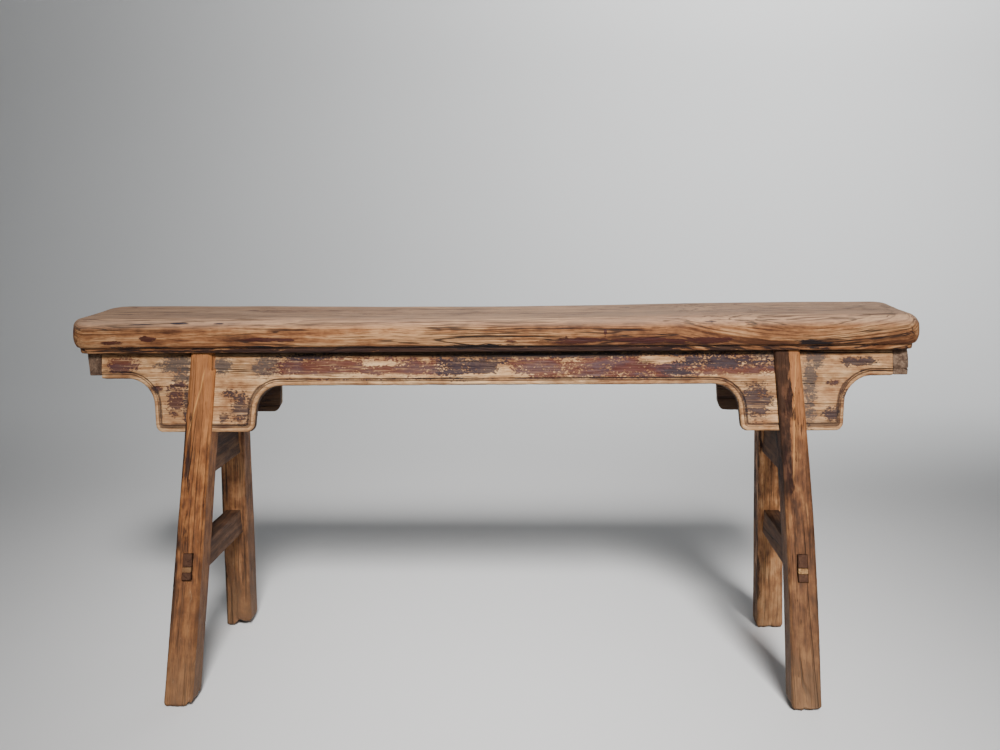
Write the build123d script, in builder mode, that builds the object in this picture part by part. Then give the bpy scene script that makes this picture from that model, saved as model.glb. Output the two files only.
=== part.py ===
from build123d import *
import os
from math import cos, radians, sin, tan

# A narrow backless bench of old elm: one thick plank on four splayed legs.
# X runs along the length, Y to the back, Z up. The origin is on the floor under the middle.
# The legs are slotted over the aprons and tenoned into the seat, so nothing is fused.

os.makedirs("parts", exist_ok=True)

# Seat plank
seat_length = 1110.0
seat_width = 175.0
seat_height = 500.0
seat_thickness = 46.0
seat_corner_radius = 22.0
seat_top_round = 13.0
seat_bottom_round = 9.0
lip_height = 8.0
lip_inset = 7.0

# Legs: splayed to the front and back; leg_inset is from the edge of the seat at its underside
splay = radians(12.0)
leg_inset = 13.5
leg_depth = 46.0
leg_top_width = 33.0
leg_foot_width = 37.0
leg_arris = 3.0
foot_chamfer = 2.0
# Middle of each leg along X, at the seat and at the floor: the hand-made legs differ a little
leg_middles = {
    "front_left": (-381.5, -411.5),
    "front_right": (385.0, 404.5),
    "rear_left": (-376.0, -405.0),
    "rear_right": (381.0, 406.0),
}

# Aprons and spandrels, heights measured down from the underside of the seat
outer_cheek = 8.0
apron_thickness = 18.0
apron_drop = 44.0
apron_end_drop = 34.0
end_apron_overhang = 15.0
spandrel_drop = 104.0
spandrel_top_half = 70.0
spandrel_bottom_half = 65.0
spandrel_corner = 6.0
inner_flare = 30.0
outer_flare = 36.0
seam_inner_reach = 88.0
seam_outer_reach = 130.0
spandrel_middles = {"front": (-380.0, 390.0), "rear": (-378.0, 380.0)}
bead_width = 7.0
groove_width = 1.8
groove_depth = 1.2
end_apron_thickness = 20.0

# Joints
joint_clearance = 0.15
seat_tenon_width = 22.0
seat_tenon_height = 28.0
outer_cheek_shoulder = 1.25
inner_cheek_shoulder = 3.5
end_tenon_length = 9.0
end_tenon_thickness = 8.0
end_tenon_height = 16.0
pin_diameter = 5.0
pin_length = 20.0
pin_offset = 42.0

# Stretchers, heights measured up from the floor
stretcher_thickness = 22.0
lower_stretcher_bottom = 160.0
lower_stretcher_height = 36.0
upper_stretcher_bottom = 287.0
upper_stretcher_height = 55.0
tenon_thickness = 13.0
tenon_height = 36.0
blind_tenon_length = 28.0
tenon_proud = 0.6
wedge_length = 28.0
wedge_thick_end = 6.0
wedge_thin_end = 1.5
wedge_height = 14.0

# Derived sizes
underside = seat_height - seat_thickness
lean = tan(splay)
leg_face = seat_width / 2 - leg_inset
apron_half_length = seat_length / 2 - end_apron_overhang - end_apron_thickness
leg_inner_face = leg_face - leg_depth
board_face = leg_face - outer_cheek
board_depth = apron_thickness / cos(splay)
inner_cheek = leg_depth - outer_cheek - board_depth
seam_line = -apron_drop / cos(splay)
end_line = -apron_end_drop / cos(splay)
spandrel_line = -spandrel_drop / cos(splay)
groove_inset = bead_width + groove_width
beyond = 40.0


def board_plane(side):
    """Outer face of the long boards: side -1 is the front, +1 the rear."""
    return Plane(
        origin=(0, side * board_face, underside),
        x_dir=(-side, 0, 0),
        z_dir=(0, side * cos(splay), sin(splay)),
    )


def leg_face_plane(side, distance):
    """Sloping plane of a leg's side: distance from the middle at the underside of the seat."""
    return Plane(
        origin=(0, side * distance, underside),
        x_dir=(-side, 0, 0),
        z_dir=(0, side * cos(splay), sin(splay)),
    )


def leg_middle(leg_name, height):
    """Middle of a leg along X at a height above the floor."""
    top_x, foot_x = leg_middles[leg_name]
    return top_x + (foot_x - top_x) * (underside - height) / underside


def board_outline(side, middles, inset, grow):
    """An apron with its two spandrels in one outline, drawn inset within the lower edge."""
    first, second = middles
    end = apron_half_length + grow
    top = grow
    wide = spandrel_top_half - inset
    narrow = spandrel_bottom_half - inset
    end_level = end_line + inset
    seam_level = seam_line + inset
    low_level = spandrel_line + inset
    points = [
        (-end, top),
        (-end, end_level),
        (first - wide, end_level),
        (first - narrow, low_level),
        (first + narrow, low_level),
        (first + wide, seam_level),
        (second - wide, seam_level),
        (second - narrow, low_level),
        (second + narrow, low_level),
        (second + wide, end_level),
        (end, end_level),
        (end, top),
    ]
    corner = max(spandrel_corner - inset, 1.0)
    with BuildSketch(board_plane(side)) as outline:
        with BuildLine():
            Polyline(*points, close=True)
        make_face()
        low_corners = outline.vertices().filter_by(lambda v: abs(v.Y - low_level) < 0.01)
        fillet(low_corners, corner)
        seam_corners = outline.vertices().filter_by(lambda v: abs(v.Y - seam_level) < 0.01)
        fillet(seam_corners, inner_flare + inset)
        end_corners = outline.vertices().filter_by(
            lambda v: abs(v.Y - end_level) < 0.01 and abs(v.X) < end - 1.0
        )
        fillet(end_corners, outer_flare + inset)
    return outline.sketch


def bead_groove(side, middles):
    """The scratched line that sets off the bead, run on past the ends of the board."""
    outer_line = board_outline(side, middles, bead_width, beyond)
    inner_line = board_outline(side, middles, groove_inset, beyond)
    with BuildPart() as groove:
        extrude(outer_line, amount=-groove_depth)
        extrude(inner_line, amount=-groove_depth, mode=Mode.SUBTRACT)
    return groove.part


def seam_block(side, middle, inner_sign):
    """Block that holds everything of a spandrel below its glue line."""
    reach = (seam_inner_reach + seam_outer_reach) / 2
    shift = inner_sign * (seam_inner_reach - seam_outer_reach) / 2
    depth = spandrel_drop
    with BuildPart() as block:
        with BuildSketch(board_plane(side).offset(1.0)):
            with Locations((middle + shift, seam_line - depth / 2)):
                Rectangle(2 * reach, depth)
        extrude(amount=-(apron_thickness + 2.0))
    return block.part


def pins(side, middle):
    """Two round pins across one glue line, in the middle of the board's thickness."""
    plane = board_plane(side)
    with BuildPart() as pair:
        for offset_x in (-pin_offset, pin_offset):
            centre = plane.from_local_coords((middle + offset_x, seam_line, -apron_thickness / 2))
            with BuildSketch(Plane(origin=centre, z_dir=plane.y_dir).offset(-pin_length / 2)):
                Circle(pin_diameter / 2)
            extrude(amount=pin_length)
    return pair.part


def end_tenon(side, end_sign, gap):
    """Stub tenon between a long apron and an end apron, grown by a gap for the mortise."""
    overlap = 3.0
    length = end_tenon_length + overlap + gap
    start = apron_half_length - overlap
    face = board_plane(side).offset(gap - (apron_thickness - end_tenon_thickness) / 2)
    with BuildPart() as tenon:
        with BuildSketch(face):
            with Locations((-side * end_sign * (start + length / 2), end_line / 2)):
                Rectangle(length, end_tenon_height + 2 * gap)
        extrude(amount=-(end_tenon_thickness + 2 * gap))
    return tenon.part


def bar(front_leg, rear_leg, bottom, height, thickness, reach):
    """Straight bar that joins the middles of two legs, seen from above, reach out from y = 0."""
    level = bottom + height / 2
    inner_y = leg_inner_face + (underside - level) * lean
    front_x = leg_middle(front_leg, level)
    rear_x = leg_middle(rear_leg, level)
    skew = (rear_x - front_x) / (2 * inner_y)
    middle_x = (front_x + rear_x) / 2
    half = thickness / 2
    points = [
        (middle_x - skew * reach - half, -reach),
        (middle_x - skew * reach + half, -reach),
        (middle_x + skew * reach + half, reach),
        (middle_x + skew * reach - half, reach),
    ]
    with BuildPart() as prism:
        with BuildSketch(Plane.XY.offset(bottom)):
            with BuildLine():
                Polyline(*points, close=True)
            make_face()
        extrude(amount=height)
    return prism.part


def blind_reach(bottom, height):
    """How far a blind tenon goes out from the middle of the bench."""
    level = bottom + height / 2
    return leg_inner_face + (underside - level) * lean + blind_tenon_length


def outside_reach():
    """Far enough out to pass every leg."""
    return leg_face + underside * lean + beyond


def wedge_space():
    """Tapering space for the wedges at both ends of a lower stretcher."""
    level = lower_stretcher_bottom + wedge_height
    face_y = leg_face + (underside - level) * lean
    far_y = face_y + beyond
    near_y = face_y - wedge_length
    slope = (wedge_thick_end - wedge_thin_end) / (2 * wedge_length)
    far_half = wedge_thick_end / 2 + slope * beyond
    near_half = wedge_thin_end / 2
    with BuildPart() as space:
        for side in (-1, 1):
            points = [
                (side * near_y, level - near_half),
                (side * far_y, level - far_half),
                (side * far_y, level + far_half),
                (side * near_y, level + near_half),
            ]
            with BuildSketch(Plane.YZ):
                with BuildLine():
                    Polyline(*points, close=True)
                make_face()
            extrude(amount=seat_length / 2, both=True)
    return space.part


def build_seat():
    """The plank with its lip and the eight blind mortises for the legs."""
    lip_radius = seat_corner_radius - lip_inset
    with BuildPart() as seat:
        with BuildSketch(Plane.XY.offset(underside + lip_height)):
            RectangleRounded(seat_length, seat_width, seat_corner_radius)
        extrude(amount=seat_thickness - lip_height)
        rims = seat.faces().filter_by(GeomType.PLANE).sort_by(Axis.Z)
        fillet(rims[-1].edges(), seat_top_round)
        rims = seat.faces().filter_by(GeomType.PLANE).sort_by(Axis.Z)
        fillet(rims[0].edges(), seat_bottom_round)
        with BuildSketch(Plane.XY.offset(underside)):
            RectangleRounded(seat_length - 2 * lip_inset, seat_width - 2 * lip_inset, lip_radius)
        extrude(amount=lip_height)
        for leg_name in leg_middles:
            add(seat_tenons(leg_name, joint_clearance), mode=Mode.SUBTRACT)
    return seat.part


def seat_tenons(leg_name, gap):
    """The two tenons on top of a leg, grown by a gap for their mortises."""
    side = -1 if leg_name.startswith("front") else 1
    top_x = leg_middles[leg_name][0]
    outer_thick = outer_cheek - 2 * outer_cheek_shoulder + 2 * gap
    inner_thick = inner_cheek - 2 * inner_cheek_shoulder + 2 * gap
    outer_y = side * (leg_face - outer_cheek / 2)
    inner_y = side * (leg_inner_face + inner_cheek / 2)
    width = seat_tenon_width + 2 * gap
    with BuildPart() as tenons:
        with BuildSketch(Plane.XY.offset(underside)):
            with Locations((top_x, outer_y)):
                Rectangle(width, outer_thick)
            with Locations((top_x, inner_y)):
                Rectangle(width, inner_thick)
        extrude(amount=seat_tenon_height + gap)
    return tenons.part


def build_leg(leg_name, mortises):
    """A splayed post with its slot, its seat tenons and its stretcher mortises."""
    side = -1 if leg_name.startswith("front") else 1
    top_x, foot_x = leg_middles[leg_name]
    top_y = side * (leg_face - leg_depth / 2)
    foot_y = side * (leg_face + underside * lean - leg_depth / 2)
    slot_depth = spandrel_drop / cos(splay) + joint_clearance
    slot_face = board_plane(side).offset(joint_clearance)
    with BuildPart() as leg:
        with BuildSketch(Plane.XY):
            with Locations((foot_x, foot_y)):
                Rectangle(leg_foot_width, leg_depth)
        with BuildSketch(Plane.XY.offset(underside)):
            with Locations((top_x, top_y)):
                Rectangle(leg_top_width, leg_depth)
        loft()
        long_edges = leg.edges().filter_by(lambda e: e.length > underside / 2)
        fillet(long_edges, leg_arris)
        chamfer(leg.faces().sort_by(Axis.Z)[0].edges(), foot_chamfer)
        with BuildSketch(slot_face):
            with Locations((-side * top_x, beyond / 2 - slot_depth / 2)):
                Rectangle(4 * leg_top_width, slot_depth + beyond)
        extrude(amount=-(apron_thickness + 2 * joint_clearance), mode=Mode.SUBTRACT)
        add(seat_tenons(leg_name, 0.0))
        for mortise in mortises:
            add(mortise, mode=Mode.SUBTRACT)
    return leg.part


def build_stretcher(end_name, bottom, height, tenon_bottom, tenon_reach):
    """A cross rail cut to the slope of its legs, with a tenon at each end."""
    legs = ("front_" + end_name, "rear_" + end_name)
    far = outside_reach()
    core = bar(*legs, tenon_bottom, tenon_height, tenon_thickness, tenon_reach)
    with BuildPart() as rail:
        add(bar(*legs, bottom, height, stretcher_thickness, far))
        for side in (-1, 1):
            split(bisect_by=leg_face_plane(side, leg_inner_face), keep=Keep.BOTTOM)
        add(core)
        for side in (-1, 1):
            split(bisect_by=leg_face_plane(side, leg_face).offset(tenon_proud), keep=Keep.BOTTOM)
    return rail.part


def finish(part, node_name):
    """Label one piece and write it to its file."""
    part.label = node_name
    export_step(part, "parts/" + node_name + ".step")


# Long boards: one outline, then sawn at the glue lines into apron and spandrels
local_middles = {
    -1: spandrel_middles["front"],
    1: (-spandrel_middles["rear"][1], -spandrel_middles["rear"][0]),
}
grooves = {side: bead_groove(side, local_middles[side]) for side in (-1, 1)}
all_pins = []
for side, face_name in ((-1, "front"), (1, "rear")):
    middles = local_middles[side]
    blocks = [seam_block(side, middles[0], 1), seam_block(side, middles[1], -1)]
    board_pins = [pins(side, middle) for middle in middles]
    all_pins = all_pins + board_pins
    board_face_outline = board_outline(side, middles, 0.0, 0.0)
    top_strip = beyond
    with BuildPart() as board:
        extrude(board_face_outline, amount=-apron_thickness)
        with BuildSketch(board_plane(side)):
            with Locations((0, top_strip / 2)):
                Rectangle(2 * apron_half_length, top_strip)
        extrude(amount=-apron_thickness)
        split(bisect_by=Plane.XY.offset(underside), keep=Keep.BOTTOM)
        add(grooves[side], mode=Mode.SUBTRACT)
    with BuildPart() as apron:
        add(board.part)
        for block in blocks:
            add(block, mode=Mode.SUBTRACT)
        for end_sign in (-1, 1):
            add(end_tenon(side, end_sign, 0.0))
        for pair in board_pins:
            add(pair, mode=Mode.SUBTRACT)
    finish(apron.part, face_name + "_apron")
    for block, pair, middle in zip(blocks, board_pins, middles):
        end_name = "left" if -side * middle < 0 else "right"
        with BuildPart() as spandrel:
            add(board.part)
            add(block, mode=Mode.INTERSECT)
            add(pair, mode=Mode.SUBTRACT)
        finish(spandrel.part, "spandrel_" + face_name + "_" + end_name)

with BuildPart() as spandrel_pins:
    for pair in all_pins:
        add(pair)
finish(spandrel_pins.part, "spandrel_pins")

# End aprons: they run out to the faces of the long boards and carry the same bead
end_half_top = board_face
end_half_low = board_face + apron_end_drop * lean
end_low = underside - apron_end_drop
for end_name, end_sign in (("left", -1), ("right", 1)):
    inner_x = end_sign * apron_half_length
    outer_x = end_sign * (apron_half_length + end_apron_thickness)
    with BuildPart() as end_apron:
        with BuildSketch(Plane.YZ.offset(min(inner_x, outer_x))):
            with BuildLine():
                Polyline(
                    (-end_half_top, underside),
                    (-end_half_low, end_low),
                    (end_half_low, end_low),
                    (end_half_top, underside),
                    close=True,
                )
            make_face()
        extrude(amount=end_apron_thickness)
        for side in (-1, 1):
            add(grooves[side], mode=Mode.SUBTRACT)
            add(end_tenon(side, end_sign, joint_clearance), mode=Mode.SUBTRACT)
        with BuildSketch(Plane.XZ):
            with Locations((outer_x, end_low + bead_width + groove_width / 2)):
                Rectangle(2 * groove_depth, groove_width)
        extrude(amount=seat_width, both=True, mode=Mode.SUBTRACT)
    finish(end_apron.part, end_name + "_end_apron")

# Stretchers, their wedges and the mortises they need
upper_tenon_bottom = upper_stretcher_bottom + (upper_stretcher_height - tenon_height) / 2
lower_tenon_bottom = lower_stretcher_bottom
upper_reach = blind_reach(upper_tenon_bottom, tenon_height)
mortises = {}
wedge_parts = []
for end_name in ("left", "right"):
    legs = ("front_" + end_name, "rear_" + end_name)
    upper = build_stretcher(
        end_name, upper_stretcher_bottom, upper_stretcher_height, upper_tenon_bottom, upper_reach
    )
    finish(upper, "upper_stretcher_" + end_name)
    whole = build_stretcher(
        end_name,
        lower_stretcher_bottom,
        lower_stretcher_height,
        lower_tenon_bottom,
        outside_reach(),
    )
    with BuildPart() as lower:
        add(whole)
        add(wedge_space(), mode=Mode.SUBTRACT)
    finish(lower.part, "lower_stretcher_" + end_name)
    with BuildPart() as wedge_pair:
        add(whole)
        add(wedge_space(), mode=Mode.INTERSECT)
    wedge_parts.append(wedge_pair.part)
    gap = joint_clearance
    hole_height = tenon_height + 2 * gap
    hole_thickness = tenon_thickness + 2 * gap
    mortises[end_name] = [
        bar(*legs, upper_tenon_bottom - gap, hole_height, hole_thickness, upper_reach + gap),
        bar(*legs, lower_tenon_bottom - gap, hole_height, hole_thickness, outside_reach()),
    ]

with BuildPart() as tenon_wedges:
    for wedge_pair in wedge_parts:
        add(wedge_pair)
finish(tenon_wedges.part, "tenon_wedges")

for leg_name in leg_middles:
    end_name = leg_name.split("_")[1]
    finish(build_leg(leg_name, mortises[end_name]), "leg_" + leg_name)

finish(build_seat(), "seat_plank")
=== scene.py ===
from math import cos, pi, radians, sin, tan

import bmesh
import bpy
from mathutils import Matrix, Vector, noise
from mathutils.kdtree import KDTree


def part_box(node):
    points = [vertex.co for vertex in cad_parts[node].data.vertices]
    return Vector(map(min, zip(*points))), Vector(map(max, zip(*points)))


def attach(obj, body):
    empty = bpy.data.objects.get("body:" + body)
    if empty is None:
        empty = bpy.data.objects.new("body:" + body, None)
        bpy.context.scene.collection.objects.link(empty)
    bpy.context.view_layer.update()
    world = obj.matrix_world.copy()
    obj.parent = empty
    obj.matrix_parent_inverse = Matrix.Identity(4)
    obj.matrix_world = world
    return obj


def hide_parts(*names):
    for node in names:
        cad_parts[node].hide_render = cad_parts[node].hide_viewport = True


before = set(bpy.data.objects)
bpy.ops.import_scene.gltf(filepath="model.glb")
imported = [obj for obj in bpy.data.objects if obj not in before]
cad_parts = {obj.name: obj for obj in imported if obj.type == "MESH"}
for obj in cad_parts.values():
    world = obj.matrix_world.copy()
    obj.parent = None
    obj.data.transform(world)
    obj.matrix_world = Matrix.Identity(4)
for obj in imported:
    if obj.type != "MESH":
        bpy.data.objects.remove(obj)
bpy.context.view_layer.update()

# Sizes in metres, as in the CAD frame: X along the bench, Y to the back, Z up
seat_low, seat_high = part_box("seat_plank")
underside = seat_low.z
seat_half_length = seat_high.x
seat_half_width = seat_high.y
seat_thickness = seat_high.z - seat_low.z
splay = radians(12.0)
lean = tan(splay)
leg_face = 0.074
leg_depth = 0.046
leg_top_width = 0.0335
leg_foot_width = 0.0385
leg_middles = {
    "front_left": (-0.3815, -0.4115),
    "front_right": (0.385, 0.4045),
    "rear_left": (-0.376, -0.405),
    "rear_right": (0.381, 0.406),
}
outer_cheek = 0.008
board_face = leg_face - outer_cheek
board_thickness = 0.018
board_end = 0.520
end_board_thickness = 0.020
seam_height = underside - 0.044
board_end_height = underside - 0.034
spandrel_height = underside - 0.104
spandrel_middles = {-1: (-0.381, 0.390), 1: (-0.3795, 0.380)}
spandrel_top_half = 0.070
spandrel_bottom_half = 0.065
stretcher_half = 0.011
tenon_half = 0.0065
lower_rail = (0.160, 0.196)
upper_rail = (0.287, 0.342)
tenon_heights = lower_rail
wedge_heights = (0.1705, 0.1775)
tenon_sink = 0.008
fit_gap = 0.0002
slot_gap = 0.0003


# ---- shaping helpers

def slice_piece(bm, normal, offsets):
    """Cut new edges across a piece on parallel planes, so that its surface can be worn."""
    normal = Vector(normal).normalized()
    for offset in offsets:
        geometry = bm.verts[:] + bm.edges[:] + bm.faces[:]
        bmesh.ops.bisect_plane(bm, geom=geometry, dist=1e-6, plane_co=normal * offset, plane_no=normal)


def spaced(low, high, step):
    """Evenly spaced offsets strictly between low and high."""
    count = max(1, round((high - low) / step))
    return [low + (high - low) * i / count for i in range(1, count)]


def saw(bm, point, normal):
    """Saw off everything on the side the normal points to, and close the cut."""
    geometry = bm.verts[:] + bm.edges[:] + bm.faces[:]
    bmesh.ops.bisect_plane(
        bm, geom=geometry, dist=1e-7, plane_co=point, plane_no=normal, clear_outer=True
    )
    open_edges = [edge for edge in bm.edges if edge.is_boundary]
    bmesh.ops.holes_fill(bm, edges=open_edges)


def soften(bm, edges, offset, segments):
    """Bevel some edges, or a flat face's corners where vertices are given."""
    affect = "VERTICES" if isinstance(edges[0], bmesh.types.BMVert) else "EDGES"
    bmesh.ops.bevel(
        bm, geom=edges, offset=offset, segments=segments, affect=affect, profile=0.5, material=-1
    )


def draw_out(bm, faces, travel):
    """Extrude faces together and move the new ends by travel."""
    made = bmesh.ops.extrude_face_region(bm, geom=faces)
    bmesh.ops.translate(bm, verts=new_verts(made), vec=travel)


def new_verts(made):
    return [item for item in made["geom"] if isinstance(item, bmesh.types.BMVert)]


def roughen(bm, grain, swell, ridge, seed):
    """Weather a surface: slow swells, and fine ridges that run along the grain."""
    grain = Vector(grain).normalized()
    shift = Vector((seed * 3.1, seed * 1.7, seed * 2.3))
    bm.normal_update()
    moves = []
    for vert in bm.verts:
        along = vert.co.dot(grain)
        across = vert.co - grain * along
        slow = noise.noise(across * 28 + grain * along * 7 + shift)
        fine = noise.noise(across * 330 + grain * along * 11 + shift)
        moves.append(vert.normal * (slow * swell + fine * ridge))
    for vert, move in zip(bm.verts, moves):
        vert.co += move


def chip(bm, grain, depth, seed, square):
    """Wear and chip the arrises: square lists the directions the flat faces look in."""
    grain = Vector(grain).normalized()
    shift = Vector((seed * 1.3, seed * 2.9, seed * 0.7))
    bm.normal_update()
    moves = []
    for vert in bm.verts:
        flat = max(abs(vert.normal.dot(direction)) for direction in square)
        edge = min(1.0, max(0.0, (0.985 - flat) / 0.25))
        along = vert.co.dot(grain)
        across = vert.co - grain * along
        bite = noise.noise(across * 30 + grain * along * 45 + shift)
        bite += 0.6 * noise.noise(across * 60 + grain * along * 160 + shift)
        moves.append(-vert.normal * edge * depth * max(0.0, bite + 0.1))
    for vert, move in zip(bm.verts, moves):
        vert.co += move


def make_piece(bm, name, material, nodes, sharp=38.0):
    """Turn a shaped mesh into a piece that rides on the bench and stands for its CAD nodes."""
    bmesh.ops.remove_doubles(bm, verts=bm.verts[:], dist=1e-6)
    bmesh.ops.recalc_face_normals(bm, faces=bm.faces[:])
    mesh = bpy.data.meshes.new(name)
    bm.to_mesh(mesh)
    bm.free()
    mesh.materials.append(material)
    mesh.polygons.foreach_set("use_smooth", [True] * len(mesh.polygons))
    mesh.set_sharp_from_angle(angle=radians(sharp))
    piece = bpy.data.objects.new(name, mesh)
    bpy.context.scene.collection.objects.link(piece)
    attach(piece, "root")
    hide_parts(*nodes)
    return piece


def side_of(leg_name):
    """-1 for the front, 1 for the back."""
    return -1 if leg_name.startswith("front") else 1


def axis_of(leg_name):
    """Direction up a leg's middle."""
    top_x, foot_x = leg_middles[leg_name]
    return Vector((top_x - foot_x, -side_of(leg_name) * underside * lean, underside)).normalized()


def face_axes(side):
    """Up the slope of a board or leg face, and out of it."""
    return Vector((0, -side * sin(splay), cos(splay))), Vector((0, side * cos(splay), sin(splay)))


def bow(leg_name, height):
    """How far a leg's middle stands off its straight line: the front right leg is bowed."""
    if leg_name != "front_right":
        return 0.0
    return 0.0045 * sin(pi * max(0.0, height) / underside) - 0.0018


def leg_middle(leg_name, height):
    """Middle of a leg along X at a height above the floor."""
    top_x, foot_x = leg_middles[leg_name]
    straight = top_x + (foot_x - top_x) * (underside - height) / underside
    return straight + bow(leg_name, height)


def outward(height, at_underside):
    """Distance from the middle of a sloping face that is at_underside out at the seat."""
    return at_underside + (underside - height) * lean


# ---- shader maths

class Tone:
    """A shader value: sums on it add Math nodes."""

    def __init__(self, paint, socket):
        self.paint = paint
        self.socket = socket

    def math(self, operation, *values):
        return self.paint.node("ShaderNodeMath", {"operation": operation}, list(values))

    def __add__(self, other):
        return self.math("ADD", self, other)

    def __radd__(self, other):
        return self.math("ADD", other, self)

    def __sub__(self, other):
        return self.math("SUBTRACT", self, other)

    def __rsub__(self, other):
        return self.math("SUBTRACT", other, self)

    def __mul__(self, other):
        return self.math("MULTIPLY", self, other)

    def __rmul__(self, other):
        return self.math("MULTIPLY", other, self)

    def __truediv__(self, other):
        return self.math("DIVIDE", self, other)

    def __abs__(self):
        return self.math("ABSOLUTE", self)

    def most(self, other):
        return self.math("MAXIMUM", self, other)

    def least(self, other):
        return self.math("MINIMUM", self, other)

    def fraction(self):
        return self.math("FRACT", self)

    def step(self, low, high):
        """Smooth step from 0 at low to 1 at high."""
        settings = {"interpolation_type": "SMOOTHSTEP"}
        values = {"Value": self, "From Min": low, "From Max": high}
        return self.paint.node("ShaderNodeMapRange", settings, values)


class Paint:
    """A procedural material under construction."""

    def __init__(self, name):
        self.material = bpy.data.materials.new(name)
        self.material.use_nodes = True
        self.tree = self.material.node_tree
        self.shader = self.tree.nodes["Principled BSDF"]
        self.where = self.node("ShaderNodeTexCoord", {}, {}, "Object")

    def node(self, kind, settings, values, output=0):
        made = self.tree.nodes.new(kind)
        for key, value in settings.items():
            if key == "stops":
                for spare in range(len(value) - 2):
                    made.color_ramp.elements.new(0.5)
                for element, (position, colour) in zip(made.color_ramp.elements, value):
                    element.position = position
                    element.color = (*colour, 1.0)
            else:
                setattr(made, key, value)
        pairs = values.items() if isinstance(values, dict) else enumerate(values)
        for key, value in pairs:
            if isinstance(value, Tone):
                self.tree.links.new(value.socket, made.inputs[key])
            else:
                made.inputs[key].default_value = value
        return Tone(self, made.outputs[output])

    def placed(self, where, scale=(1, 1, 1), turn=(0, 0, 0), shift=(0, 0, 0)):
        values = {"Vector": where, "Scale": scale, "Rotation": turn, "Location": shift}
        return self.node("ShaderNodeMapping", {}, values)

    def noise(self, where, scale, detail=3.0, roughness=0.55, output="Fac"):
        """Noise with its own scale along each axis."""
        values = {"Vector": self.placed(where, scale), "Scale": 1.0}
        values.update({"Detail": detail, "Roughness": roughness})
        return self.node("ShaderNodeTexNoise", {}, values, output)

    def vector(self, operation, *values, output=0):
        return self.node("ShaderNodeVectorMath", {"operation": operation}, list(values), output)

    def axis(self, where, name):
        return self.node("ShaderNodeSeparateXYZ", {}, {"Vector": where}, name)

    def mix(self, factor, first, second):
        """Mix two colours."""
        settings = {"data_type": "RGBA"}
        first = first if isinstance(first, Tone) else (*first, 1.0)
        second = second if isinstance(second, Tone) else (*second, 1.0)
        return self.node("ShaderNodeMix", settings, {0: factor, 6: first, 7: second}, 2)

    def coats(self, colour, *layers):
        """Lay tints over a colour in turn, each given with its mask."""
        for mask, tint in layers:
            colour = self.mix(mask, colour, tint)
        return colour

    def attribute(self, name):
        return self.node("ShaderNodeAttribute", {"attribute_name": name}, {}, "Fac")

    def ramp(self, factor, stops):
        return self.node("ShaderNodeValToRGB", {"stops": stops}, {"Fac": factor}, "Color")

    def finish(self, colour, roughness, height, relief):
        """Feed the shader: relief is the depth of the surface detail in metres."""
        bump = self.node(
            "ShaderNodeBump", {}, {"Strength": 1.0, "Distance": relief, "Height": height}
        )
        self.tree.links.new(colour.socket, self.shader.inputs["Base Color"])
        self.tree.links.new(roughness.socket, self.shader.inputs["Roughness"])
        self.tree.links.new(bump.socket, self.shader.inputs["Normal"])
        self.shader.inputs["Specular IOR Level"].default_value = 0.25
        return self.material


def srgb(red, green, blue):
    """A colour given as it looks on a screen, 0 to 255, as the shader needs it."""
    def linear(value):
        value = value / 255
        return value / 12.92 if value <= 0.04045 else ((value + 0.055) / 1.055) ** 2.4
    return (linear(red), linear(green), linear(blue))


# ---- wood

class Elm:
    """Growth rings about a pith line, fibres, pores and splits, as tones from 0 to 1."""

    def __init__(self, paint, where, pith, spacing, wander, seed):
        shifted = paint.placed(where, shift=(seed * 0.37, 0, 0))
        self.where = shifted
        drift = paint.noise(shifted, (2.2, 7, 7), 2.0, 0.5, "Color")
        ripple = paint.noise(shifted, (11, 40, 40), 2.0, 0.5, "Color")
        drift = paint.vector("SUBTRACT", drift, (0.5, 0.5, 0.5))
        ripple = paint.vector("SUBTRACT", ripple, (0.5, 0.5, 0.5))
        drift = paint.vector("MULTIPLY", drift, (wander, wander, wander))
        ripple = paint.vector("MULTIPLY", ripple, (wander * 0.16, wander * 0.16, wander * 0.16))
        bent = paint.vector("ADD", paint.vector("ADD", shifted, drift), ripple)
        from_pith = paint.vector("SUBTRACT", bent, (0, pith[0], pith[1]))
        from_pith = paint.vector("MULTIPLY", from_pith, (0, 1, 1))
        radius = paint.vector("LENGTH", from_pith, output=1)
        phase = (radius / spacing + 40.0).fraction()
        patchy = paint.noise(bent, (3, 45, 45), 2.0)
        self.ring = (1 - phase.step(0.0, 0.36)) * patchy.step(0.34, 0.60)
        self.fibre = paint.noise(bent, (18, 560, 560), 4.0, 0.6)
        self.streak = paint.noise(bent, (5, 150, 150), 4.0, 0.62)
        self.slow = paint.noise(bent, (3, 16, 16), 2.0)
        self.blotch = paint.noise(shifted, (42, 75, 75), 5.0, 0.62)
        self.pores = paint.noise(bent, (60, 1300, 1300), 1.0).step(0.58, 0.68)
        hair = abs(paint.noise(bent, (2.6, 130, 130), 2.0) - 0.5)
        where_hair = paint.noise(shifted, (9, 60, 60), 1.0).step(0.36, 0.50)
        self.hair = (1 - hair.step(0.006, 0.028)) * where_hair
        thread = abs(paint.noise(bent, (1.6, 52, 52), 1.0) - 0.5)
        where_split = paint.noise(shifted, (6, 30, 30), 1.0).step(0.47, 0.58)
        self.split = (1 - thread.step(0.003, 0.015)) * where_split


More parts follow.
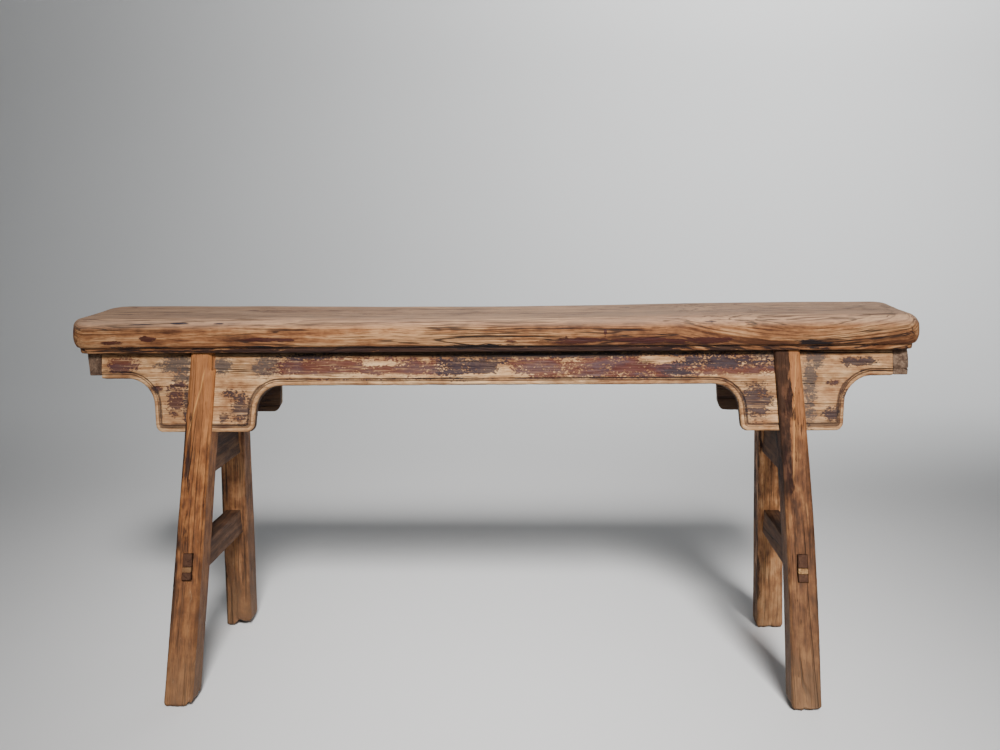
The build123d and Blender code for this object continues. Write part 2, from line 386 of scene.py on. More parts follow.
def elm_colour(paint, elm, dark, middle, light, deep, weights=(0.6, 0.8, 0.4, 0.7, 0.5, 0.4)):
    """Bare elm: light and dark bands, dark ring lines, pores and splits.

    The weights are for the slow bands, streaks, fibres, blotches, ring lines and hairlines.
    """
    swings = (
        (elm.slow - 0.5) * weights[0] + (elm.streak - 0.5) * weights[1]
        + (elm.fibre - 0.5) * weights[2] + (elm.blotch - 0.5) * weights[3]
    )
    tone = swings + 0.5
    colour = paint.ramp(tone, [(0.30, dark), (0.50, middle), (0.70, light)])
    return paint.coats(
        colour, (elm.ring * weights[4], dark), (elm.pores * 0.35, deep),
        (elm.hair * weights[5], deep), (elm.split * 0.85, deep),
    )


def elm_height(elm):
    """Relief of bare elm: raised fibres, sunk ring lines, pores and splits."""
    lines = elm.ring * 0.35 + elm.pores * 0.2 + elm.hair * 0.4 + elm.split * 1.1
    return elm.fibre * 0.5 + elm.streak * 0.5 - lines


def spots(paint, across, up, places):
    """Soft blobs at chosen places, each (x, z, half width, half height): 1 in a blob's middle."""
    total = None
    for x, z, half_x, half_z in places:
        offset_x = (across - x) / half_x
        offset_z = (up - z) / half_z
        blob = 1 - (offset_x * offset_x + offset_z * offset_z) * 0.5
        total = blob if total is None else total.most(blob)
    return total.most(-1.0)


# ---- materials

crack_black = srgb(30, 20, 18)
stain_kinds = ("maroon", "plum", "grey", "bare")
grain_along_y = (0, 0, pi / 2)


def seat_finish():
    """Weathered plank: tan and brown, wavy dark grain, lacquer left near the lower edge, and painted
    shade in the groove above the lip.
    """
    paint = Paint("seat_elm")
    x = paint.axis(paint.where, "X")
    y = paint.axis(paint.where, "Y")
    z = paint.axis(paint.where, "Z")
    sag = ((x - 0.41) / 0.12).most(-1.4).least(1.4)
    lifted = paint.node("ShaderNodeCombineXYZ", {}, [0.0, 0.0, sag * sag * -0.011])
    elm = Elm(paint, paint.vector("ADD", paint.where, lifted), (0.012, 0.330), 0.0042, 0.026, 1.0)
    colour = elm_colour(
        paint, elm, srgb(84, 49, 29), srgb(146, 98, 62), srgb(184, 138, 96), crack_black,
        (0.8, 0.9, 0.5, 0.6, 0.65, 0.85),
    )
    warm = paint.noise(elm.where, (2.0, 20, 20), 2.0).step(0.45, 0.7)
    dulled = z.step(0.484, 0.4965)
    lines = elm.hair.most(elm.ring * 0.45).most(elm.split)
    ragged = paint.noise(elm.where, (26, 190, 190), 5.0, 0.7) - 0.5
    broad = paint.noise(elm.where, (6, 40, 40), 2.0) - 0.5
    front = 1 - y.step(-0.05, -0.03)
    red = spots(paint, x, z, [
        (-0.450, 0.4744, 0.009, 0.0040), (-0.500, 0.4694, 0.014, 0.0030),
        (-0.291, 0.4715, 0.030, 0.0025), (0.025, 0.4676, 0.012, 0.0035),
        (0.101, 0.4690, 0.040, 0.0050), (0.197, 0.4680, 0.032, 0.0045),
        (0.265, 0.4680, 0.045, 0.0045), (0.148, 0.4786, 0.002, 0.0050),
    ])
    red = (red * front * 0.55 + broad * 0.9 + ragged * 2.2).step(0.21, 0.30)
    lip = 1 - z.step(underside + 0.0066, underside + 0.0100)
    middle = 1 - (abs(x - 0.03) / 0.38)
    lip_film = (lip * 0.55 + middle * 0.35 + broad * 1.2 + ragged * 1.8 - 0.35).step(0.14, 0.24)
    # painted shade along the groove above the lip, stronger in the middle
    crease_shade = 1 - abs(z - (underside + 0.0070)).step(0.0005, 0.0018)
    crease_shade = crease_shade * (middle.most(0.0) * 0.6 + 0.4)
    black = spots(paint, x, z, [
        (0.420, 0.4620, 0.028, 0.0060), (-0.020, 0.4620, 0.045, 0.0045),
        (-0.460, 0.4620, 0.050, 0.0015), (-0.300, 0.4625, 0.036, 0.0020),
    ])
    black = (black * 0.45 + broad * 0.6 + ragged * 1.8).step(0.27, 0.36)
    blots = spots(paint, x, z, [
        (-0.407, 0.4940, 0.013, 0.0014), (-0.356, 0.4934, 0.007, 0.0009),
        (-0.460, 0.4929, 0.016, 0.0006), (0.283, 0.4920, 0.008, 0.0007),
    ])
    blot = (blots + ragged * 1.2).step(0.35, 0.65) * front
    colour = paint.coats(
        colour, (warm * 0.35, srgb(142, 80, 40)), (dulled * 0.45, srgb(206, 176, 150)),
        (dulled * lines * 0.6, srgb(64, 38, 26)), (red * 0.92, srgb(62, 24, 20)),
        # the lip's lacquer film, then dark lacquer spots together with the painted shade of the groove
        (lip_film * lip * 0.92, srgb(40, 22, 20)), (black.most(crease_shade * 0.85), srgb(36, 26, 26)),
        (blot * 0.9, srgb(44, 42, 54)),
    )
    film = red.most(lip_film * lip)
    rough = 0.60 + elm.fibre * 0.3 - film * 0.18
    return paint.finish(colour, rough, elm_height(elm) + film * 0.2, 0.0016)


def board_finish(name, seed):
    """Pale bare elm with lacquer remains: maroon, near-black plum, and a thin grey film; dirt and
    painted shade in the bead's groove, a painted shadow under the seat, and painted shade on the inner
    faces.
    """
    paint = Paint(name)
    elm = Elm(paint, paint.where, (0.05, 0.60), 0.0055, 0.020, seed)
    colour = elm_colour(
        paint, elm, srgb(136, 92, 60), srgb(180, 136, 94), srgb(210, 170, 126), srgb(40, 22, 18),
        (0.5, 0.6, 0.35, 1.0, 0.25, 0.45),
    )
    z = paint.axis(paint.where, "Z")
    rim = paint.attribute("rim")
    stain = {kind: paint.attribute(kind) for kind in stain_kinds}
    ragged = paint.noise(elm.where, (62, 180, 180), 6.0, 0.74) - 0.5
    speckle = paint.noise(elm.where, (300, 460, 460), 3.0, 0.6) - 0.5
    broad = paint.noise(elm.where, (22, 55, 55), 3.0, 0.6) - 0.5
    worn = ragged * 1.9 + speckle * 2.1 + broad * 1.1
    scraped = stain["bare"].most(0.0) * 0.8
    on_bead = 1 - rim.step(0.0062, 0.0074)
    red = (stain["maroon"] * 0.70 + worn * 1.2 - scraped - on_bead * 0.4).step(0.02, 0.34)
    black = (stain["plum"] * 0.72 + worn * 1.2 - scraped - on_bead * 0.3).step(0.04, 0.38)
    haze = (stain["grey"] * 0.55 + worn * 0.9 - scraped).step(0.00, 0.40)
    low = 1 - z.step(0.405, 0.424)
    width = low * 0.0007 + 0.0011
    patchy = broad * 3.0 + ragged * 2.4 - low * 0.5
    # dirt and lacquer left in the bead's groove, darkened further as painted shade of the groove
    groove_dirt_and_shade = 1 - (abs(rim - 0.0080) / width + patchy + 0.25).step(0.5, 1.2)
    # a broken dark line where the bead's profile steps down: dirt and painted shade of the step
    thin = 1 - (abs(rim - 0.0054) / 0.0008 + broad * 2.0 + ragged * 1.5).step(0.5, 1.2)
    groove_dirt_and_shade = groove_dirt_and_shade.most(thin * 0.9)
    # painted shadow under the seat's overhang: a near-black band along the top of the boards, deepest
    # in the middle
    middle = (1 - abs(paint.axis(paint.where, "X")) / 0.45).most(0.0)
    shade = (z + middle * 0.006).step(0.4455, 0.4540)
    # painted shade: every face but the front, the inner faces under the bench included, is painted
    # dark brown
    inner = rim.step(0.06, 0.50)
    tint_choice = paint.noise(elm.where, (24, 60, 60), 3.0).step(0.42, 0.60)
    tint = paint.mix(tint_choice, srgb(82, 33, 23), srgb(70, 41, 45))
    tint = paint.mix(low * 0.65, tint, srgb(58, 36, 36))
    scratches = 1 - (elm.fibre * 0.6 + elm.streak * 0.4).step(0.53, 0.62) * 0.55
    red = red * scratches
    black = black * scratches
    colour = paint.coats(
        colour, (haze * 0.88, srgb(76, 66, 62)), (red * 0.92, tint),
        (black * 0.9, srgb(44, 29, 34)), (groove_dirt_and_shade * 0.72, srgb(40, 29, 31)),
        (shade * 0.88, srgb(22, 14, 12)), (inner * 0.9, srgb(48, 30, 24)),
    )
    film = red.most(black)
    rough = 0.66 + elm.fibre * 0.25 - film * 0.2
    return paint.finish(colour, rough, elm_height(elm) + film * 0.35, 0.0010)


def leg_finish(leg_name, dark, middle, light, strip, streak, seed):
    """Waxed brown elm whose grain follows the leg, with a dark strip and a dusty foot.

    strip: its edge across the leg in half widths, its lean, and the height where it ends.
    streak: its place across the leg, its slant, its two heights, and its strength.
    """
    paint = Paint("elm_leg_" + leg_name)
    top_x, foot_x = leg_middles[leg_name]
    turn = axis_of(leg_name).rotation_difference(Vector((1, 0, 0))).to_euler()
    local = paint.placed(paint.where, turn=tuple(turn))
    elm = Elm(paint, local, (0.06, 0.13), 0.0068, 0.022, seed)
    weights = (0.5, 0.6, 0.4, 1.0, 0.3, 0.6)
    colour = elm_colour(paint, elm, dark, middle, light, crack_black, weights)
    x = paint.axis(paint.where, "X")
    z = paint.axis(paint.where, "Z")
    slope = (foot_x - top_x) / underside
    across = (x - top_x - (underside - z) * slope) / (leg_top_width / 2)
    wavy = paint.noise(elm.where, (9, 30, 30), 3.0, 0.6) - 0.5
    ragged = paint.noise(elm.where, (34, 230, 230), 5.0, 0.7) - 0.5
    if side_of(leg_name) < 0:
        colour = paint.mix(z.step(0.30, 0.40) * 0.55, colour, srgb(178, 116, 68))
    greyed = (1 - z.step(0.06, 0.30)) * 0.5
    scratch = (ragged * 2.4 - wavy * 1.0).step(0.36, 0.50) * (1 - z.step(0.14, 0.30))
    strip_edge, strip_lean, strip_foot = strip
    band = strip_edge - (0.45 - z) * strip_lean - across + wavy * 1.4 + ragged * 1.2
    band = band.step(0.0, 0.14) * z.step(strip_foot - 0.03, strip_foot + 0.03)
    bark = paint.mix(elm.blotch.step(0.42, 0.62), srgb(24, 14, 12), srgb(78, 50, 36))
    start, fall, low, high, strength = streak
    pale = 1 - (abs(across - start + (0.4237 - z) * fall + wavy * 0.5) / 0.075).step(0.3, 1.0)
    pale = pale * z.step(low - 0.02, low + 0.01) * (1 - z.step(high, high + 0.012))
    fleck = (ragged * 2.2 + wavy * 1.2).step(0.28, 0.42)
    dusty = (1 - z.step(0.0, 0.16)) * 0.75 + ragged * 0.8
    colour = paint.coats(
        colour, (greyed, srgb(84, 60, 40)), (scratch * 0.55, srgb(150, 120, 88)),
        (band * 0.88, bark), (pale * strength, srgb(190, 136, 80)), (fleck * 0.75, srgb(42, 18, 12)),
        (dusty.step(0.2, 0.9) * 0.35, srgb(118, 92, 66)),
        ((1 - z.step(0.001, 0.006)) * 0.7, srgb(38, 26, 18)),
    )
    rough = 0.52 + elm.fibre * 0.3 + band * 0.15
    return paint.finish(colour, rough, elm_height(elm) - fleck * 0.4, 0.0014)


def rail_finish():
    """Dull dark brown cross rails."""
    paint = Paint("elm_rails")
    local = paint.placed(paint.where, turn=grain_along_y)
    elm = Elm(paint, local, (0.05, 0.40), 0.006, 0.016, 19.0)
    colour = elm_colour(
        paint, elm, srgb(56, 34, 22), srgb(82, 54, 36), srgb(108, 76, 52), crack_black
    )
    tenon_end = abs(paint.axis(paint.where, "Y")).step(0.100, 0.104)
    colour = paint.mix(tenon_end * 0.8, colour, srgb(66, 40, 26))
    rough = 0.66 + elm.fibre * 0.2
    return paint.finish(colour, rough, elm_height(elm), 0.0009)


def end_board_finish():
    """Short end boards: grain along Y, so grey end grain shows at the front and back."""
    paint = Paint("elm_end_boards")
    local = paint.placed(paint.where, turn=grain_along_y)
    elm = Elm(paint, local, (0.50, 0.36), 0.0040, 0.006, 5.0)
    colour = elm_colour(
        paint, elm, srgb(72, 52, 40), srgb(106, 84, 68), srgb(138, 114, 94), crack_black
    )
    rough = 0.72 + elm.fibre * 0.2
    return paint.finish(colour, rough, elm_height(elm), 0.0008)


def wedge_finish():
    """Pale cut end grain."""
    paint = Paint("pale_wedge_wood")
    elm = Elm(paint, paint.placed(paint.where, turn=grain_along_y), (0.0, 0.2), 0.003, 0.004, 7.0)
    colour = elm_colour(
        paint, elm, srgb(124, 90, 56), srgb(164, 128, 86), srgb(190, 156, 112), srgb(66, 40, 24)
    )
    dulled = 1 - paint.axis(paint.where, "X").step(-0.1, 0.1)
    colour = paint.mix(dulled * 0.75, colour, srgb(84, 52, 32))
    return paint.finish(colour, 0.7 + elm.fibre * 0.2, elm_height(elm), 0.0005)


def bamboo_finish():
    """Straw-coloured bamboo with fine fibres."""
    paint = Paint("bamboo_pins")
    fibre = paint.noise(paint.where, (900, 900, 30), 3.0)
    colour = paint.ramp(fibre, [(0.3, srgb(150, 124, 76)), (0.7, srgb(200, 176, 120))])
    return paint.finish(colour, 0.5 + fibre * 0.3, fibre, 0.0003)


# ---- seat

seat_corners = {(-1, -1): 0.024, (1, -1): 0.024, (-1, 1): 0.039, (1, 1): 0.036}
seat_shift = -0.0018
lip_height = 0.0062
# Heights of the seat's rows of points in millimetres, for a plank 46 mm thick
seat_levels = (
    0, 0.8, 3, 5, 5.9, 6.4, 7.2, 8.0, 8.7, 10, 12.5, 15, 18, 21, 24, 27, 30, 32.5, 35, 37.5,
    40, 42, 44, 45.3, 46,
)


def seat_side_inset(rise):
    """How far the side of the seat stands in, at a rise above its underside."""
    if rise < lip_height:
        return 0.0080 + 0.0006 * (1 - rise / lip_height) + max(0.0, 0.0008 - rise)
    above = min(1.0, (rise - lip_height) / 0.0160)
    notch = 0.0010 if rise < 0.0075 else 0.0
    return 0.0083 * (1 - (1 - (1 - above) ** 2) ** 0.5) + notch


def seat_round_at(x):
    """Rounding of the top edge: tighter at the left end."""
    share = min(1.0, max(0.0, (x + seat_half_length) / 0.07))
    return 0.0095 + 0.0065 * share * share * (3 - 2 * share)


def shape_seat():
    """A gridded block pressed into the plank: round corners, worn top, groove and lip."""
    bm = bmesh.new()
    bmesh.ops.create_cube(bm, size=1.0)
    steps = {0: 330, 1: 70, 2: len(seat_levels) - 1}
    for direction, count in steps.items():
        along = [
            edge for edge in bm.edges
            if abs(edge.verts[0].co[direction] - edge.verts[1].co[direction]) > 0.5
        ]
        bmesh.ops.subdivide_edges(bm, edges=along, cuts=count - 1, use_grid_fill=True)
    for vert in bm.verts:
        x = vert.co.x * 2 * seat_half_length
        y = vert.co.y * 2 * seat_half_width
        level = round((vert.co.z + 0.5) * (len(seat_levels) - 1))
        rise = seat_levels[level] / 1000 * seat_thickness / 0.046
        seat_corner = seat_corners[-1 if x < 0 else 1, -1 if y < 0 else 1]
        seat_round = seat_round_at(x)
        core_x = max(-seat_half_length + seat_corner, min(seat_half_length - seat_corner, x))
        core_y = max(-seat_half_width + seat_corner, min(seat_half_width - seat_corner, y))
        out = Vector((x - core_x, y - core_y))
        reach = max(abs(out.x), abs(out.y))
        if out.length > 0:
            out = out.normalized() * reach
        inset = seat_corner - reach
        direction = out.normalized() if reach > 0 else out
        shoulder = seat_thickness - seat_round
        new_inset, new_rise = inset, rise
        if inset < seat_round and rise > shoulder:
            a = (seat_round - inset) / seat_round
            b = (rise - shoulder) / seat_round
            size = (a * a + b * b) ** 0.5
            largest = max(a, b)
            a, b = a / size * largest, b / size * largest
            new_inset = seat_round - a * seat_round
            new_rise = shoulder + b * seat_round
        elif rise <= shoulder and reach > 0:
            side_inset = seat_side_inset(rise)
            new_inset = side_inset + inset * (seat_corner - side_inset) / seat_corner
        radius = seat_corner - new_inset
        vert.co.x = core_x + direction.x * radius
        vert.co.y = core_y + direction.y * radius
        vert.co.z = underside + new_rise
    bm.normal_update()
    for vert in bm.verts:
        rise = vert.co.z - underside
        share = max(0.0, (rise - 0.02) / (seat_thickness - 0.02))
        dish = 0.0034 * cos(min(1.0, abs(vert.co.x + 0.02) / 0.42) * pi / 2) ** 2
        lumps = noise.noise(Vector((vert.co.x * 9, vert.co.y * 14, 3.0))) * 0.0007
        hollow = 0.0008 * (1 - min(1.0, abs(vert.co.y) / 0.07) ** 2)
        vert.co.z -= share * (dish + hollow + max(0.0, lumps))
    roughen(bm, (1, 0, 0), 0.00045, 0.00022, 1.0)
    for vert in bm.verts:
        near_end = max(0.0, abs(vert.co.x) - seat_half_length + 0.03) / 0.03
        high = max(0.0, vert.co.z - underside - 0.020) / 0.026
        vert.co.x -= (1 if vert.co.x > 0 else -1) * 0.0034 * near_end * high * high
        vert.co.x += seat_shift
        vert.co.z = min(max(vert.co.z, underside - 0.0002), underside + seat_thickness)
    return bm


# ---- lacquer left on the boards

# Each stain: middle along X, middle height, half width, half height
stains = {
    ("maroon", -1): [
        (-0.491, 0.436, 0.016, 0.009), (-0.447, 0.405, 0.007, 0.004),
        (-0.413, 0.411, 0.007, 0.004), (-0.421, 0.393, 0.009, 0.015),
        (-0.266, 0.432, 0.014, 0.012), (-0.215, 0.432, 0.055, 0.013),
        (-0.125, 0.430, 0.075, 0.012), (0.060, 0.431, 0.038, 0.014),
        (0.150, 0.431, 0.050, 0.015), (0.225, 0.428, 0.045, 0.012),
        (0.310, 0.433, 0.050, 0.013), (0.443, 0.410, 0.007, 0.003),
    ],
    ("plum", -1): [
        (-0.404, 0.385, 0.005, 0.021), (-0.333, 0.381, 0.011, 0.017),
        (-0.358, 0.369, 0.007, 0.006), (-0.347, 0.400, 0.010, 0.004),
        (-0.047, 0.431, 0.020, 0.013), (-0.009, 0.433, 0.023, 0.012),
        (0.242, 0.425, 0.018, 0.004), (0.300, 0.438, 0.055, 0.007),
        (0.345, 0.388, 0.016, 0.019), (0.441, 0.372, 0.009, 0.008),
        (0.470, 0.437, 0.022, 0.005), (0.461, 0.392, 0.005, 0.012),
        (-0.245, 0.446, 0.030, 0.003), (0.100, 0.447, 0.130, 0.003),
    ],
    ("grey", -1): [
        (-0.419, 0.437, 0.020, 0.009), (-0.412, 0.421, 0.011, 0.008),
        (-0.357, 0.436, 0.010, 0.011), (-0.295, 0.435, 0.018, 0.012),
        (0.413, 0.405, 0.007, 0.043), (0.355, 0.446, 0.030, 0.006),
        (0.200, 0.432, 0.060, 0.010), (0.425, 0.440, 0.012, 0.010),
    ],
    ("bare", -1): [
        (-0.137, 0.437, 0.028, 0.004), (0.018, 0.426, 0.011, 0.009), (0.220, 0.440, 0.026, 0.005),
        (0.325, 0.435, 0.007, 0.003), (0.312, 0.417, 0.053, 0.003), (0.443, 0.431, 0.013, 0.011),
        (-0.180, 0.421, 0.100, 0.003), (0.375, 0.385, 0.004, 0.030), (0.005, 0.421, 0.050, 0.003),
        (-0.365, 0.385, 0.005, 0.030),
    ],
    ("maroon", 1): [(-0.20, 0.432, 0.12, 0.014), (0.10, 0.431, 0.10, 0.013), (0.42, 0.40, 0.02, 0.03)],
    ("plum", 1): [(-0.05, 0.432, 0.08, 0.010), (0.27, 0.434, 0.06, 0.011), (-0.36, 0.39, 0.03, 0.03)],
    ("grey", 1): [(-0.42, 0.43, 0.04, 0.014), (0.36, 0.42, 0.03, 0.03)],
    ("bare", 1): [(0.18, 0.438, 0.04, 0.006), (-0.12, 0.424, 0.05, 0.004)],
}


def paint_stains(bm, side):
    """Lay the stains down on a board as soft tones: 1 in a stain's middle, half at its rim."""
    for name in stain_kinds:
        layer = bm.verts.layers.float.new(name)
        for vert in bm.verts:
            tone = -1.0
            for x, z, half_x, half_z in stains[name, side]:
                far = ((vert.co.x - x) / half_x) ** 2 + ((vert.co.z - z) / half_z) ** 2
                tone = max(tone, 1 - 0.5 * far)
            vert[layer] = tone


# ---- aprons and spandrels

# From the edge inwards: how wide each step is, and how far it rises
bead_steps = (
    (0.0004, 0.0010), (0.0007, 0.0008), (0.0011, 0.0004), (0.0018, 0.0), (0.0008, -0.0004),
    (0.0004, -0.0008), (0.0005, 0.0009), (0.0014, 0.0), (0.0005, -0.0012), (0.0007, 0.0),
    (0.0006, 0.0015),
)
bead_start = 0.0022
overrun = 0.030
apron_seam_drop = 0.0003
spandrel_seam_drop = 0.00035
spandrel_half_length = 0.11


def board_matrix(side):
    """From the board's own axes (along, up the slope, out of its face) to the bench's."""
    slope_up, out = face_axes(side)
    matrix = Matrix.Identity(4)
    matrix.col[1] = (*slope_up, 0)
    matrix.col[2] = (*out, 0)
    matrix.col[3] = (0, side * board_face, underside, 1)
    return matrix


def down_slope(height):
    """A height above the floor as a distance up the board's own slope from the seat."""
    return (height - underside) / cos(splay)


def shape_board(side):
    """Apron and spandrels in one board, with the bead and its groove round the lower edge."""
    bm = bmesh.new()
    first, second = spandrel_middles[side]
    end = board_end + overrun
    wide, narrow = spandrel_top_half, spandrel_bottom_half
    end_level = down_slope(board_end_height)
    seam_level = down_slope(seam_height)
    low_level = down_slope(spandrel_height)
    points = [
        (-end, overrun), (-end, end_level), (first - wide, end_level),
        (first - narrow, low_level), (first + narrow, low_level), (first + wide, seam_level),
        (second - wide, seam_level), (second - narrow, low_level),
        (second + narrow, low_level), (second + wide, end_level), (end, end_level), (end, overrun),
    ]
    corners = [bm.verts.new((x, up, -bead_start)) for x, up in points]
    bm.faces.new(corners)
    foot_round = 0.0092 if side < 0 else 0.0105
    for radius, picked in ((0.036, (2, 9)), (0.030, (5, 6)), (foot_round, (3, 4, 7, 8))):
        soften(bm, [corners[i] for i in picked], radius, 9)
    face = bm.faces[:][0]
    bmesh.ops.recalc_face_normals(bm, faces=[face])
    if face.normal.z > 0:
        face.normal_flip()
    outline = trace(face.edges)
    draw_out(bm, [face], (0, 0, bead_start - board_thickness))
    bmesh.ops.recalc_face_normals(bm, faces=bm.faces[:])
    bm.normal_update()
    front = max(bm.faces, key=lambda f: f.calc_center_median().z * 1000 + f.calc_area())
    for width, depth in bead_steps:
        bmesh.ops.inset_region(
            bm, faces=[front], thickness=width, depth=depth, use_even_offset=True, use_boundary=True
        )
    bm.normal_update()
    bmesh.ops.transform(bm, matrix=board_matrix(side), verts=bm.verts[:])
    bmesh.ops.recalc_face_normals(bm, faces=bm.faces[:])
    saw(bm, (0, 0, underside - fit_gap), (0, 0, 1))
    return bm, outline


def trace(edges):
    """Points every millimetre along some edges, ready to be searched for the nearest."""
    marks = []
    for edge in edges:
        start, end = (vert.co for vert in edge.verts)
        count = max(1, round((end - start).length / 0.001))
        marks += [start.lerp(end, i / count) for i in range(count)]
    tree = KDTree(len(marks))
    for number, mark in enumerate(marks):
        tree.insert((mark.x, mark.y, 0.0), number)
    tree.balance()
    return tree


def wear_board(bm, side, low_x, high_x, outline, seed):
    """Slice a board finely, note each point's distance from the shaped edge, and weather it."""
    slope_up, out = face_axes(side)
    slice_piece(bm, (1, 0, 0), spaced(low_x, high_x, 0.0036))
    reach = [vert.co.dot(slope_up) for vert in bm.verts]
    slice_piece(bm, slope_up, spaced(min(reach), max(reach), 0.0026))
    rim = bm.verts.layers.float.new("rim")
    to_board = board_matrix(side).inverted()
    for vert in bm.verts:
        place = to_board @ vert.co
        on_front = place.z > -0.004
        vert[rim] = outline.find((place.x, place.y, 0.0))[2] if on_front else 1.0
    paint_stains(bm, side)
    roughen(bm, (1, 0, 0), 0.00030, 0.00016, seed)
    chip(bm, (1, 0, 0), 0.0007, seed, ((1, 0, 0), slope_up, out))


def seam_cut(side, drop):
    """A point on the glue line of apron and spandrel, and the direction across it."""
    point = board_matrix(side) @ Vector((0, down_slope(seam_height) - drop, 0))
    return point, face_axes(side)[0]


def shape_apron(side, seed):
    bm, outline = shape_board(side)
    for end_sign in (-1, 1):
        saw(bm, (end_sign * board_end, 0, 0), (end_sign, 0, 0))
    seam_point, slope_up = seam_cut(side, apron_seam_drop)
    saw(bm, seam_point, -slope_up)
    wear_board(bm, side, -board_end, board_end, outline, seed)
    return bm


def shape_spandrel(side, middle, seed):
    bm, outline = shape_board(side)
    seam_point, slope_up = seam_cut(side, spandrel_seam_drop)
    saw(bm, seam_point, slope_up)
    for end_sign in (-1, 1):
        saw(bm, (middle + end_sign * spandrel_half_length, 0, 0), (end_sign, 0, 0))
    low_x, high_x = middle - spandrel_half_length, middle + spandrel_half_length
    wear_board(bm, side, low_x, high_x, outline, seed)
    return bm


def shape_end_board(end_sign, low):
    """Cross board at one end, sloped like the aprons; the right one's end face has a groove."""
    bm = bmesh.new()
    bmesh.ops.create_cube(bm, size=1.0)
    top = underside - fit_gap
    for vert in bm.verts:
        height = top if vert.co.z > 0 else low
        reach = outward(height, board_face)
        x = board_end + (end_board_thickness if vert.co.x > 0 else fit_gap)
        vert.co = Vector((end_sign * x, (1 if vert.co.y > 0 else -1) * reach, height))
    bmesh.ops.recalc_face_normals(bm, faces=bm.faces[:])
    soften(bm, bm.edges[:], 0.0012, 2)
    groove = low + 0.0079
    groove_half = 0.0011
    slice_piece(bm, (0, 0, 1), [groove - groove_half, groove, groove + groove_half])
    slice_piece(bm, (0, 0, 1), spaced(low, groove - groove_half, 0.003))
    slice_piece(bm, (0, 0, 1), spaced(groove + groove_half, top, 0.003))
    slice_piece(bm, (0, 1, 0), spaced(-0.076, 0.076, 0.004))
    slice_piece(bm, (1, 0, 0), [end_sign * (board_end + x) for x in (0.004, 0.008, 0.012, 0.016)])
    bm.normal_update()
    for vert in bm.verts:
        outer = abs(vert.co.x) > board_end + fit_gap + 1e-5
        if abs(vert.co.z - groove) < 1e-5 and outer and end_sign > 0:
            vert.co -= vert.normal * 0.0012
    for vert in bm.verts:
        outward_share = (abs(vert.co.x) - board_end) / end_board_thickness
        fall = (top - vert.co.z) / (top - low)
        tuck = 0.0042 * fall if end_sign < 0 else 0.0016 * (2 * fall - 1) ** 2
        vert.co.x -= end_sign * outward_share * tuck
    roughen(bm, (0, 1, 0), 0.00030, 0.00018, 4.0 + end_sign)
    chip(bm, (0, 1, 0), 0.0010, 4.0 + end_sign, ((1, 0, 0), (0, 1, 0), (0, 0, 1)))
    return bm


# ---- legs

def shape_leg(leg_name, seed, foot_loss, cheek_loss):
    """A splayed post, slotted over the board, with the mouth of the lower rail's mortise."""
    bm = bmesh.new()
    side = side_of(leg_name)
    slope_up, out = face_axes(side)
    top_x, foot_x = leg_middles[leg_name]
    slot_outer = board_face + slot_gap
    slot_inner = board_face - board_thickness / cos(splay) - slot_gap
    slot_floor = spandrel_height - slot_gap
    top = underside - fit_gap
    profile = [
        (leg_face, 0.0), (leg_face, top), (slot_outer, top), (slot_outer, slot_floor),
        (slot_inner, slot_floor), (slot_inner, top), (leg_face - leg_depth, top),
        (leg_face - leg_depth, 0.0),
    ]
    verts = [bm.verts.new((-0.5, side * outward(z, reach), z)) for reach, z in profile]
    draw_out(bm, [bm.faces.new(verts)], (1, 0, 0))
    for vert in bm.verts:
        share = (underside - vert.co.z) / underside
        width = leg_top_width + (leg_foot_width - leg_top_width) * share
        straight = top_x + (foot_x - top_x) * share
        vert.co.x = straight + vert.co.x * width
    bmesh.ops.recalc_face_normals(bm, faces=bm.faces[:])
    arrises = [edge for edge in bm.edges if edge.calc_length() > 0.3]
    soften(bm, arrises, 0.0045, 4)
    rims = [edge for edge in bm.edges if all(vert.co.z < 0.001 for vert in edge.verts)]
    soften(bm, rims, 0.003, 2)
    slice_piece(bm, (0, 0, 1), tenon_heights)
    tenon_low, tenon_high = tenon_heights
    for low, high in ((0.0, tenon_low), (tenon_low, tenon_high), (tenon_high, top)):
        slice_piece(bm, (0, 0, 1), spaced(low, high, 0.0055))
    slant = Vector((1, 0, (foot_x - top_x) / underside))
    across = slant.normalized()
    middle_offset = Vector((top_x, 0, underside)).dot(across)
    mouth = tenon_half + 0.0004
    mouth_depth = 0.010
    slices = [-mouth, mouth] + spaced(-mouth, mouth, 0.0035)
    slices += spaced(mouth, 0.020, 0.003) + spaced(-0.020, -mouth, 0.003)
    slice_piece(bm, slant, [middle_offset + offset for offset in slices])
    face_offset = Vector((0, side * leg_face, underside)).dot(out)
    slice_piece(bm, out, [face_offset - d for d in spaced(0.0, leg_depth * cos(splay), 0.0035)])
    bm.normal_update()
    mouth_faces = []
    for face in bm.faces:
        middle = face.calc_center_median()
        beside = abs(middle.dot(across) - middle_offset)
        inside = tenon_low < middle.z < tenon_high and beside < mouth
        if inside and face.normal.dot(out) > 0.98:
            mouth_faces.append(face)
    draw_out(bm, mouth_faces, (0, -side * mouth_depth, 0))
    bmesh.ops.delete(bm, geom=mouth_faces, context="FACES")
    roughen(bm, axis_of(leg_name), 0.0006, 0.00018, seed)
    chip(bm, axis_of(leg_name), 0.0014, seed, (across, out, slope_up))
    fray_foot(bm, leg_name, seed, foot_loss)
    for vert in bm.verts:
        beside = (vert.co.dot(across) - middle_offset) / (leg_top_width / 2)
        bite = cheek_loss(beside, vert.co.z)
        if bite > 0 and (vert.co * side).y > outward(vert.co.z, slot_outer) - 0.001:
            vert.co.y -= side * bite * outer_cheek
    for vert in bm.verts:
        vert.co.x += bow(leg_name, vert.co.z)
    return bm


